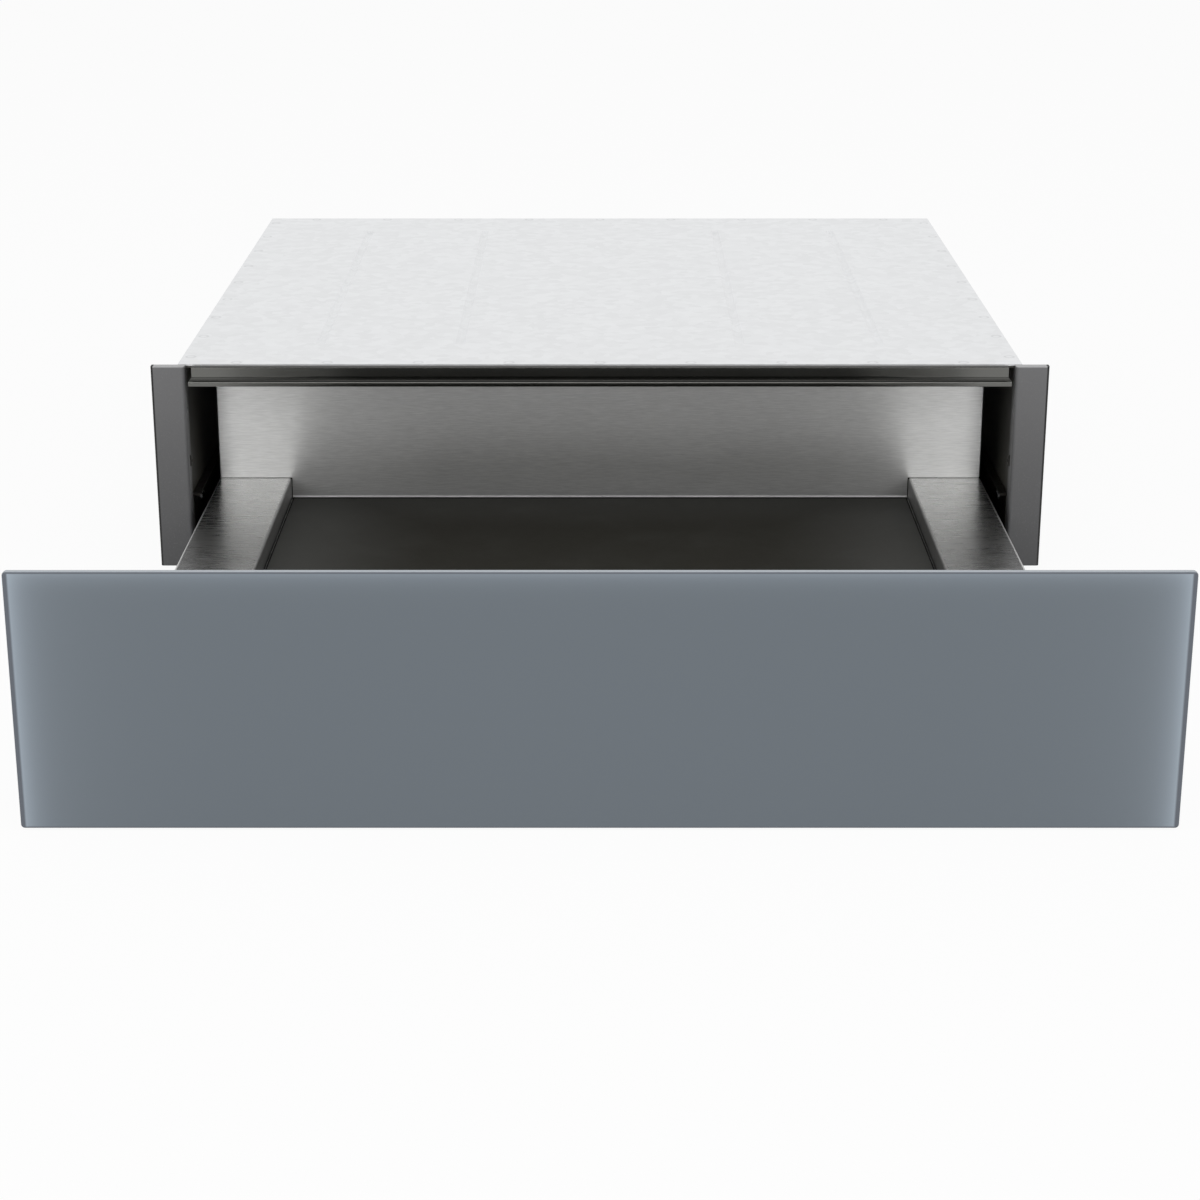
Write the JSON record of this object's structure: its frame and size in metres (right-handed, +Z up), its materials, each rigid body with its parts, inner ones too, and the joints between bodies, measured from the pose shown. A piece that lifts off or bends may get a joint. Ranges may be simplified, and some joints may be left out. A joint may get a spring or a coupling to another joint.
{
  "type": "built-in storage drawer",
  "caption": "Built-in drawer unit: glass-fronted folded steel tray on telescopic ball runners in a steel niche housing, pushed to open.",
  "frame": {"origin": "centre of the housing's flat base, which stands on the cabinet's shelf", "axes": "+X to the right seen from the front, -Y out of the front, which is also the way the drawer opens, +Z up"},
  "size_m": [0.597, 0.9615, 0.14],
  "materials": {
    "satin_glass": "satin etched glass, painted blue-grey on its back",
    "housing_steel": "dark grey matt paint",
    "top_zinc": "bright galvanised sheet",
    "post_paint": "grey satin paint",
    "rail_black": "black satin paint",
    "bracket_steel": "black matt paint",
    "rail_zinc": "bright zinc plated, drawn along its length",
    "zinc_sheet": "galvanised sheet",
    "zinc_fasteners": "zinc plated",
    "brushed_tray": "stainless steel brushed across the drawer",
    "ball_steel": "polished bearing steel",
    "cage_steel": "yellow passivated strip",
    "mat_rubber": "fine-ribbed anti-slip mat, dark brown-grey",
    "black_rubber": "matt",
    "tape_foam": "closed-cell foam tape",
    "catch_plastic": "fine moulded texture",
    "plunger_plastic": "natural acetal"
  },
  "bodies": {
    "housing": {"base_panel": "housing_steel", "top_panel": "top_zinc", "side_panel_left": "housing_steel", "side_panel_right": "housing_steel", "rear_panel": "housing_steel", "post_left": "post_paint", "post_right": "post_paint", "top_rail": "rail_black", "runner_bracket_left": "bracket_steel", "runner_bracket_right": "bracket_steel", "fixed_rail_left": "rail_zinc", "fixed_rail_right": "rail_zinc", "rail_buffers": "black_rubber", "bracket_rivets": "zinc_fasteners", "housing_screws": "zinc_fasteners", "catch_body_left": "catch_plastic", "catch_body_right": "catch_plastic", "catch_screws": "zinc_fasteners"},
    "drawer": {"drawer_rail_left": "rail_zinc", "drawer_rail_right": "rail_zinc", "rail_angle_left": "zinc_sheet", "rail_angle_right": "zinc_sheet", "drawer_rivets": "zinc_fasteners", "tray": "brushed_tray", "back_wall": "brushed_tray", "mat": "mat_rubber", "floor_stiffener_front": "zinc_sheet", "floor_stiffener_rear": "zinc_sheet", "striker_left": "zinc_sheet", "striker_right": "zinc_sheet", "inner_front": "brushed_tray", "front_carrier": "zinc_sheet", "bonding_tape": "tape_foam", "glass_front": "satin_glass", "front_buffers": "black_rubber", "front_screws": "zinc_fasteners"},
    "middle_rail_left": {"middle_rail_left": "rail_zinc"},
    "outer_cage_left": {"outer_cage_left": "cage_steel", "outer_balls_left": "ball_steel"},
    "inner_cage_left": {"inner_cage_left": "cage_steel", "inner_balls_left": "ball_steel"},
    "catch_plunger_left": {"catch_plunger_left": "plunger_plastic"},
    "middle_rail_right": {"middle_rail_right": "rail_zinc"},
    "outer_cage_right": {"outer_cage_right": "cage_steel", "outer_balls_right": "ball_steel"},
    "inner_cage_right": {"inner_cage_right": "cage_steel", "inner_balls_right": "ball_steel"},
    "catch_plunger_right": {"catch_plunger_right": "plunger_plastic"}
  },
  "joints": [
    {"name": "drawer_slide", "type": "slide", "parent": "housing", "child": "drawer", "axis": [0, -1, 0], "range_m": [-0.41, 0]},
    {"name": "middle_rail_left_slide", "type": "slide", "parent": "housing", "child": "middle_rail_left", "axis": [0, -1, 0], "range_m": [-0.205, 0]},
    {"name": "outer_cage_left_slide", "type": "slide", "parent": "housing", "child": "outer_cage_left", "axis": [0, -1, 0], "range_m": [-0.1025, 0]},
    {"name": "inner_cage_left_slide", "type": "slide", "parent": "housing", "child": "inner_cage_left", "axis": [0, -1, 0], "range_m": [-0.3075, 0]},
    {"name": "catch_press_left", "type": "slide", "parent": "housing", "child": "catch_plunger_left", "axis": [0, 1, 0], "range_m": [0, 0.003], "stiffness_N_per_m": 1500, "springref_m": -0.008},
    {"name": "middle_rail_right_slide", "type": "slide", "parent": "housing", "child": "middle_rail_right", "axis": [0, -1, 0], "range_m": [-0.205, 0]},
    {"name": "outer_cage_right_slide", "type": "slide", "parent": "housing", "child": "outer_cage_right", "axis": [0, -1, 0], "range_m": [-0.1025, 0]},
    {"name": "inner_cage_right_slide", "type": "slide", "parent": "housing", "child": "inner_cage_right", "axis": [0, -1, 0], "range_m": [-0.3075, 0]},
    {"name": "catch_press_right", "type": "slide", "parent": "housing", "child": "catch_plunger_right", "axis": [0, 1, 0], "range_m": [0, 0.003], "stiffness_N_per_m": 1500, "springref_m": -0.008}
  ],
  "couplings": [
    {"joint": "middle_rail_left_slide", "follows": "drawer_slide", "ratio": 0.5},
    {"joint": "outer_cage_left_slide", "follows": "drawer_slide", "ratio": 0.25},
    {"joint": "inner_cage_left_slide", "follows": "drawer_slide", "ratio": 0.75},
    {"joint": "middle_rail_right_slide", "follows": "drawer_slide", "ratio": 0.5},
    {"joint": "outer_cage_right_slide", "follows": "drawer_slide", "ratio": 0.25},
    {"joint": "inner_cage_right_slide", "follows": "drawer_slide", "ratio": 0.75}
  ]
}
